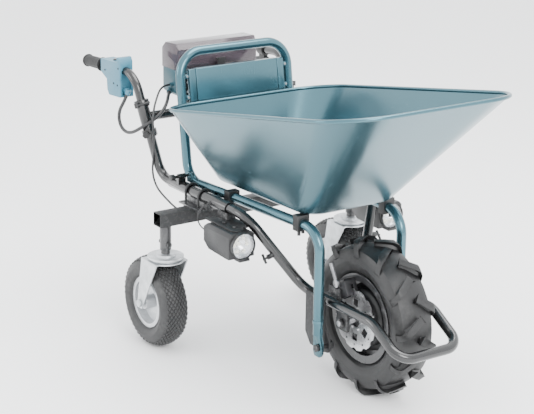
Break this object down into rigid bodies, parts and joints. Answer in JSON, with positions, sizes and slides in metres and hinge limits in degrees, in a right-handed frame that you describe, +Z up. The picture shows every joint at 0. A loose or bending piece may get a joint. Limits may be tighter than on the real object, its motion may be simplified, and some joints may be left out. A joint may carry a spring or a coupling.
{
  "type": "power wheelbarrow",
  "caption": "Battery-driven wheelbarrow: tipping steel tub, bent-tube chassis, hub-motor front wheel and two rear swivel casters.",
  "frame": {"origin": "centre of the footprint, on the ground", "axes": "+X forwards to the drive wheel, +Y to the left, +Z up"},
  "size_m": [1.3324, 0.7564, 0.8308],
  "materials": {
    "battery_box": "satin",
    "battery_bracket": "satin",
    "battery_left": "satin",
    "battery_lid": "smoked",
    "battery_right": "satin",
    "beam_saddles": "satin",
    "brake_bracket": "satin",
    "brake_cable": "satin",
    "brake_caliper": "anodised",
    "brake_lever": "anodised",
    "brake_rotor": "ground",
    "cable_grommets": "matte",
    "caliper_arm": "plated",
    "caster_axle_left": "zinc plated",
    "caster_axle_right": "zinc plated",
    "caster_fork_left": "zinc plated",
    "caster_fork_right": "zinc plated",
    "caster_mounts": "zinc plated",
    "caster_rim_left": "silver painted",
    "caster_rim_right": "silver painted",
    "caster_tyre_left": "moulded",
    "caster_tyre_right": "moulded",
    "clamp_knob_left": "matte",
    "clamp_knob_right": "matte",
    "clamp_lever_left": "bright",
    "clamp_lever_right": "bright",
    "control_conduit": "satin",
    "cross_beam": "satin",
    "direction_switch": "gloss",
    "drive_trigger": "gloss",
    "frame_fasteners": "plated",
    "frame_plates": "semi-gloss",
    "frame_sleeves": "semi-gloss",
    "front_axle": "ground",
    "front_rim": "gloss",
    "front_tyre": "moulded",
    "grip_left": "matte",
    "grip_right": "matte",
    "handle_crossbar": "semi-gloss",
    "headlight_bodies": "satin",
    "headlight_brackets": "satin",
    "headlight_lead": "satin",
    "headlight_lenses": "clear",
    "headlight_reflectors": "bright",
    "hub_motor_case": "satin",
    "lid_hinge": "satin",
    "lid_latch": "satin",
    "light_button": "gloss",
    "lock_pin": "plated",
    "lower_handles": "semi-gloss",
    "main_frame": "semi-gloss",
    "motor_cable": "satin",
    "motor_stator": "lacquered",
    "rear_panel": "satin metallic",
    "switch_box": "satin",
    "tub": "satin metallic",
    "tub_clamps": "matte",
    "tub_frame": "satin metallic",
    "upper_handle_left": "semi-gloss",
    "upper_handle_right": "semi-gloss"
  },
  "bodies": {
    "chassis": {"battery_box": "battery_box", "battery_bracket": "battery_bracket", "beam_saddles": "beam_saddles", "brake_cable": "brake_cable", "brake_caliper": "brake_caliper", "cable_grommets": "cable_grommets", "caster_mounts": "caster_mounts", "control_conduit": "control_conduit", "cross_beam": "cross_beam", "frame_fasteners": "frame_fasteners", "frame_plates": "frame_plates", "frame_sleeves": "frame_sleeves", "front_axle": "front_axle", "handle_crossbar": "handle_crossbar", "headlight_bodies": "headlight_bodies", "headlight_brackets": "headlight_brackets", "headlight_lead": "headlight_lead", "headlight_lenses": "headlight_lenses", "headlight_reflectors": "headlight_reflectors", "lid_hinge": "lid_hinge", "lower_handles": "lower_handles", "main_frame": "main_frame", "motor_cable": "motor_cable", "motor_stator": "motor_stator"},
    "front_wheel": {"front_tyre": "front_tyre", "front_rim": "front_rim", "hub_motor_case": "hub_motor_case", "brake_rotor": "brake_rotor"},
    "swivel_right": {"caster_fork_right": "caster_fork_right", "caster_axle_right": "caster_axle_right"},
    "swivel_left": {"caster_fork_left": "caster_fork_left", "caster_axle_left": "caster_axle_left"},
    "caster_wheel_right": {"caster_tyre_right": "caster_tyre_right", "caster_rim_right": "caster_rim_right"},
    "caster_wheel_left": {"caster_tyre_left": "caster_tyre_left", "caster_rim_left": "caster_rim_left"},
    "tipping_tub": {"tub": "tub", "tub_frame": "tub_frame", "rear_panel": "rear_panel", "tub_clamps": "tub_clamps"},
    "tub_lock": {"lock_pin": "lock_pin"},
    "box_lid": {"battery_lid": "battery_lid"},
    "box_latch": {"lid_latch": "lid_latch"},
    "battery_pack_right": {"battery_right": "battery_right"},
    "battery_pack_left": {"battery_left": "battery_left"},
    "handle_right": {"upper_handle_right": "upper_handle_right", "grip_right": "grip_right", "switch_box": "switch_box"},
    "handle_left": {"upper_handle_left": "upper_handle_left", "grip_left": "grip_left", "brake_bracket": "brake_bracket"},
    "cam_lever_right": {"clamp_lever_right": "clamp_lever_right"},
    "cam_lever_left": {"clamp_lever_left": "clamp_lever_left"},
    "star_knob_right": {"clamp_knob_right": "clamp_knob_right"},
    "star_knob_left": {"clamp_knob_left": "clamp_knob_left"},
    "hand_brake": {"brake_lever": "brake_lever"},
    "caliper_lever": {"caliper_arm": "caliper_arm"},
    "trigger": {"drive_trigger": "drive_trigger"},
    "direction_lever": {"direction_switch": "direction_switch"},
    "lamp_button": {"light_button": "light_button"}
  },
  "joints": [
    {"name": "front_wheel_spin", "type": "hinge", "parent": "chassis", "child": "front_wheel", "pos_m": [0.4117, 0, 0.21], "axis": [0, 1, 0], "continuous": true},
    {"name": "caster_swivel_right", "type": "hinge", "parent": "chassis", "child": "swivel_right", "pos_m": [-0.1153, -0.321, 0.273], "axis": [0, 0, 1], "continuous": true},
    {"name": "caster_swivel_left", "type": "hinge", "parent": "chassis", "child": "swivel_left", "pos_m": [-0.1153, 0.321, 0.273], "axis": [0, 0, 1], "continuous": true},
    {"name": "caster_spin_right", "type": "hinge", "parent": "swivel_right", "child": "caster_wheel_right", "pos_m": [-0.1723, -0.321, 0.131], "axis": [0, 1, 0], "continuous": true},
    {"name": "caster_spin_left", "type": "hinge", "parent": "swivel_left", "child": "caster_wheel_left", "pos_m": [-0.1723, 0.321, 0.131], "axis": [0, 1, 0], "continuous": true},
    {"name": "tub_tip", "type": "hinge", "parent": "chassis", "child": "tipping_tub", "pos_m": [0.3617, 0, 0.131], "axis": [0, 1, 0], "range_deg": [0, 75]},
    {"name": "tub_lock_slide", "type": "slide", "parent": "chassis", "child": "tub_lock", "axis": [0, 1, 0], "range_m": [0, 0.0036]},
    {"name": "box_lid_hinge", "type": "hinge", "parent": "chassis", "child": "box_lid", "pos_m": [-0.4513, 0, 0.7353], "axis": [0, -1, 0], "range_deg": [0, 110]},
    {"name": "box_latch_hinge", "type": "hinge", "parent": "chassis", "child": "box_latch", "pos_m": [-0.3423, 0, 0.712], "axis": [0, 1, 0], "range_deg": [-8, 20]},
    {"name": "battery_lift_right", "type": "slide", "parent": "chassis", "child": "battery_pack_right", "axis": [0, 0, 1], "range_m": [0, 0.04]},
    {"name": "battery_lift_left", "type": "slide", "parent": "chassis", "child": "battery_pack_left", "axis": [0, 0, 1], "range_m": [0, 0.04]},
    {"name": "handle_height_right", "type": "slide", "parent": "chassis", "child": "handle_right", "axis": [-0.2414, -0.1484, 0.959], "range_m": [0, 0.06]},
    {"name": "handle_height_left", "type": "slide", "parent": "chassis", "child": "handle_left", "axis": [-0.2414, 0.1484, 0.959], "range_m": [0, 0.06]},
    {"name": "cam_lever_right_turn", "type": "hinge", "parent": "chassis", "child": "cam_lever_right", "pos_m": [-0.35475, -0.27204, 0.65112], "axis": [-0.2414, -0.1484, 0.959], "range_deg": [-100, 0]},
    {"name": "cam_lever_left_turn", "type": "hinge", "parent": "chassis", "child": "cam_lever_left", "pos_m": [-0.35475, 0.27204, 0.65112], "axis": [0.2414, -0.1484, -0.959], "range_deg": [-100, 0]},
    {"name": "star_knob_right_turn", "type": "hinge", "parent": "chassis", "child": "star_knob_right", "pos_m": [-0.33317, -0.25, 0.56917], "axis": [0.6692, -0.7412, 0.0537], "continuous": true},
    {"name": "star_knob_left_turn", "type": "hinge", "parent": "chassis", "child": "star_knob_left", "pos_m": [-0.33317, 0.25, 0.56917], "axis": [0.6692, 0.7412, 0.0537], "continuous": true},
    {"name": "hand_brake_squeeze", "type": "hinge", "parent": "handle_left", "child": "hand_brake", "pos_m": [-0.5073, 0.2604, 0.703], "axis": [0, 1, 0], "range_deg": [0, 8], "stiffness_Nm_per_rad": 2, "springref_deg": -14.32},
    {"name": "caliper_lever_turn", "type": "hinge", "parent": "chassis", "child": "caliper_lever", "pos_m": [0.3617, 0, 0.3], "axis": [0, 1, 0], "range_deg": [0, 12]},
    {"name": "trigger_pull", "type": "slide", "parent": "handle_right", "child": "trigger", "axis": [1, 0, 0], "range_m": [0, 0.006], "stiffness_N_per_m": 600, "springref_m": -0.004},
    {"name": "direction_lever_turn", "type": "hinge", "parent": "handle_right", "child": "direction_lever", "pos_m": [-0.4883, -0.239, 0.688], "axis": [0, 1, 0], "range_deg": [-20, 20]},
    {"name": "lamp_button_press", "type": "slide", "parent": "handle_right", "child": "lamp_button", "axis": [0, 0, -1], "range_m": [0, 0.003], "stiffness_N_per_m": 400, "springref_m": -0.002}
  ],
  "couplings": [
    {"joint": "caliper_lever_turn", "follows": "hand_brake_squeeze", "ratio": 1.5}
  ]
}
